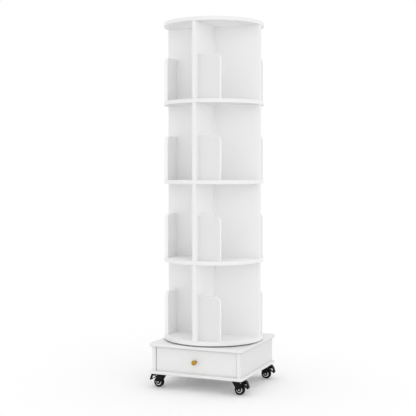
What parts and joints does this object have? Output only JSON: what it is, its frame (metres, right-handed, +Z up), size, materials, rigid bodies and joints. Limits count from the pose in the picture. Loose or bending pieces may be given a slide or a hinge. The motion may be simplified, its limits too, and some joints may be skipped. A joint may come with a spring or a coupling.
{
  "type": "revolving bookcase",
  "caption": "Revolving round bookcase with crossed dividers and book stops, on a square base with a drawer and swivel casters with brakes.",
  "frame": {"origin": "on the column's spin axis, at floor level under the casters", "axes": "+Z up along the spin axis; -Y the front, where the drawer slides out; +X on the right of someone who faces the drawer"},
  "size_m": [0.4236, 0.414, 1.462],
  "materials": {
    "white_board": "white melamine faced board, satin",
    "drawer_box_board": "white foil faced board, matt",
    "gold_knob": "polished brass",
    "zinc_steel": "zinc plated sheet",
    "aluminium_ring": "mill finish",
    "bearing_steel": "polished",
    "black_steel": "black electro-coated sheet, semi-gloss",
    "black_tyre": "smooth, matt",
    "grey_hub": "moulded, matt",
    "black_pedal": "moulded, semi-gloss"
  },
  "bodies": {
    "base": {"base_bottom_board": "white_board", "base_top_board": "white_board", "base_left_side": "white_board", "base_right_side": "white_board", "base_back_panel": "white_board", "outer_drawer_runners": "zinc_steel", "turntable_outer_ring": "aluminium_ring", "caster_king_pins": "zinc_steel", "caster_plate_front_left": "black_steel", "caster_plate_front_right": "black_steel", "caster_plate_back_right": "black_steel", "caster_plate_back_left": "black_steel"},
    "column": {"column_floor": "white_board", "lower_shelf": "white_board", "middle_shelf": "white_board", "upper_shelf": "white_board", "top_board": "white_board", "turntable_inner_ring": "aluminium_ring", "long_divider_1": "white_board", "half_dividers_1": "white_board", "book_stops_1": "white_board", "long_divider_2": "white_board", "half_dividers_2": "white_board", "book_stops_2": "white_board", "long_divider_3": "white_board", "half_dividers_3": "white_board", "book_stops_3": "white_board", "long_divider_4": "white_board", "half_dividers_4": "white_board", "book_stops_4": "white_board"},
    "turntable_balls": {"turntable_balls": "bearing_steel"},
    "drawer": {"drawer_front": "white_board", "drawer_left_side": "drawer_box_board", "drawer_right_side": "drawer_box_board", "drawer_back": "drawer_box_board", "drawer_bottom": "drawer_box_board", "drawer_knob": "gold_knob", "inner_drawer_runners": "zinc_steel"},
    "caster_swivel_front_left": {"caster_fork_front_left": "black_steel", "caster_axle_front_left": "zinc_steel"},
    "caster_wheel_front_left": {"caster_tyre_front_left": "black_tyre", "caster_hub_front_left": "grey_hub"},
    "caster_pedal_front_left": {"caster_brake_front_left": "black_pedal"},
    "caster_swivel_front_right": {"caster_fork_front_right": "black_steel", "caster_axle_front_right": "zinc_steel"},
    "caster_wheel_front_right": {"caster_tyre_front_right": "black_tyre", "caster_hub_front_right": "grey_hub"},
    "caster_pedal_front_right": {"caster_brake_front_right": "black_pedal"},
    "caster_swivel_back_right": {"caster_fork_back_right": "black_steel", "caster_axle_back_right": "zinc_steel"},
    "caster_wheel_back_right": {"caster_tyre_back_right": "black_tyre", "caster_hub_back_right": "grey_hub"},
    "caster_pedal_back_right": {"caster_brake_back_right": "black_pedal"},
    "caster_swivel_back_left": {"caster_fork_back_left": "black_steel", "caster_axle_back_left": "zinc_steel"},
    "caster_wheel_back_left": {"caster_tyre_back_left": "black_tyre", "caster_hub_back_left": "grey_hub"},
    "caster_pedal_back_left": {"caster_brake_back_left": "black_pedal"}
  },
  "joints": [
    {"name": "column_spin", "type": "hinge", "parent": "base", "child": "column", "pos_m": [0, 0, 0.183], "axis": [0, 0, 1], "continuous": true},
    {"name": "ball_roll", "type": "hinge", "parent": "base", "child": "turntable_balls", "pos_m": [0, 0, 0.183], "axis": [0, 0, 1], "continuous": true},
    {"name": "drawer_slide", "type": "slide", "parent": "base", "child": "drawer", "axis": [0, -1, 0], "range_m": [0, 0.24]},
    {"name": "swivel_front_left", "type": "hinge", "parent": "base", "child": "caster_swivel_front_left", "pos_m": [-0.159, -0.154, 0.054], "axis": [0, 0, 1], "continuous": true},
    {"name": "wheel_roll_front_left", "type": "hinge", "parent": "caster_swivel_front_left", "child": "caster_wheel_front_left", "pos_m": [-0.174, -0.154, 0.02], "axis": [0, 1, 0], "continuous": true},
    {"name": "brake_front_left", "type": "hinge", "parent": "caster_swivel_front_left", "child": "caster_pedal_front_left", "pos_m": [-0.181, -0.154, 0.048], "axis": [0, -1, 0], "range_deg": [0, 8]},
    {"name": "swivel_front_right", "type": "hinge", "parent": "base", "child": "caster_swivel_front_right", "pos_m": [0.159, -0.154, 0.054], "axis": [0, 0, 1], "continuous": true},
    {"name": "wheel_roll_front_right", "type": "hinge", "parent": "caster_swivel_front_right", "child": "caster_wheel_front_right", "pos_m": [0.174, -0.154, 0.02], "axis": [0, 1, 0], "continuous": true},
    {"name": "brake_front_right", "type": "hinge", "parent": "caster_swivel_front_right", "child": "caster_pedal_front_right", "pos_m": [0.181, -0.154, 0.048], "axis": [0, 1, 0], "range_deg": [0, 8]},
    {"name": "swivel_back_right", "type": "hinge", "parent": "base", "child": "caster_swivel_back_right", "pos_m": [0.159, 0.154, 0.054], "axis": [0, 0, 1], "continuous": true},
    {"name": "wheel_roll_back_right", "type": "hinge", "parent": "caster_swivel_back_right", "child": "caster_wheel_back_right", "pos_m": [0.174, 0.154, 0.02], "axis": [0, 1, 0], "continuous": true},
    {"name": "brake_back_right", "type": "hinge", "parent": "caster_swivel_back_right", "child": "caster_pedal_back_right", "pos_m": [0.181, 0.154, 0.048], "axis": [0, 1, 0], "range_deg": [0, 8]},
    {"name": "swivel_back_left", "type": "hinge", "parent": "base", "child": "caster_swivel_back_left", "pos_m": [-0.159, 0.154, 0.054], "axis": [0, 0, 1], "continuous": true},
    {"name": "wheel_roll_back_left", "type": "hinge", "parent": "caster_swivel_back_left", "child": "caster_wheel_back_left", "pos_m": [-0.174, 0.154, 0.02], "axis": [0, 1, 0], "continuous": true},
    {"name": "brake_back_left", "type": "hinge", "parent": "caster_swivel_back_left", "child": "caster_pedal_back_left", "pos_m": [-0.181, 0.154, 0.048], "axis": [0, -1, 0], "range_deg": [0, 8]}
  ],
  "couplings": [
    {"joint": "ball_roll", "follows": "column_spin", "ratio": 0.5}
  ]
}
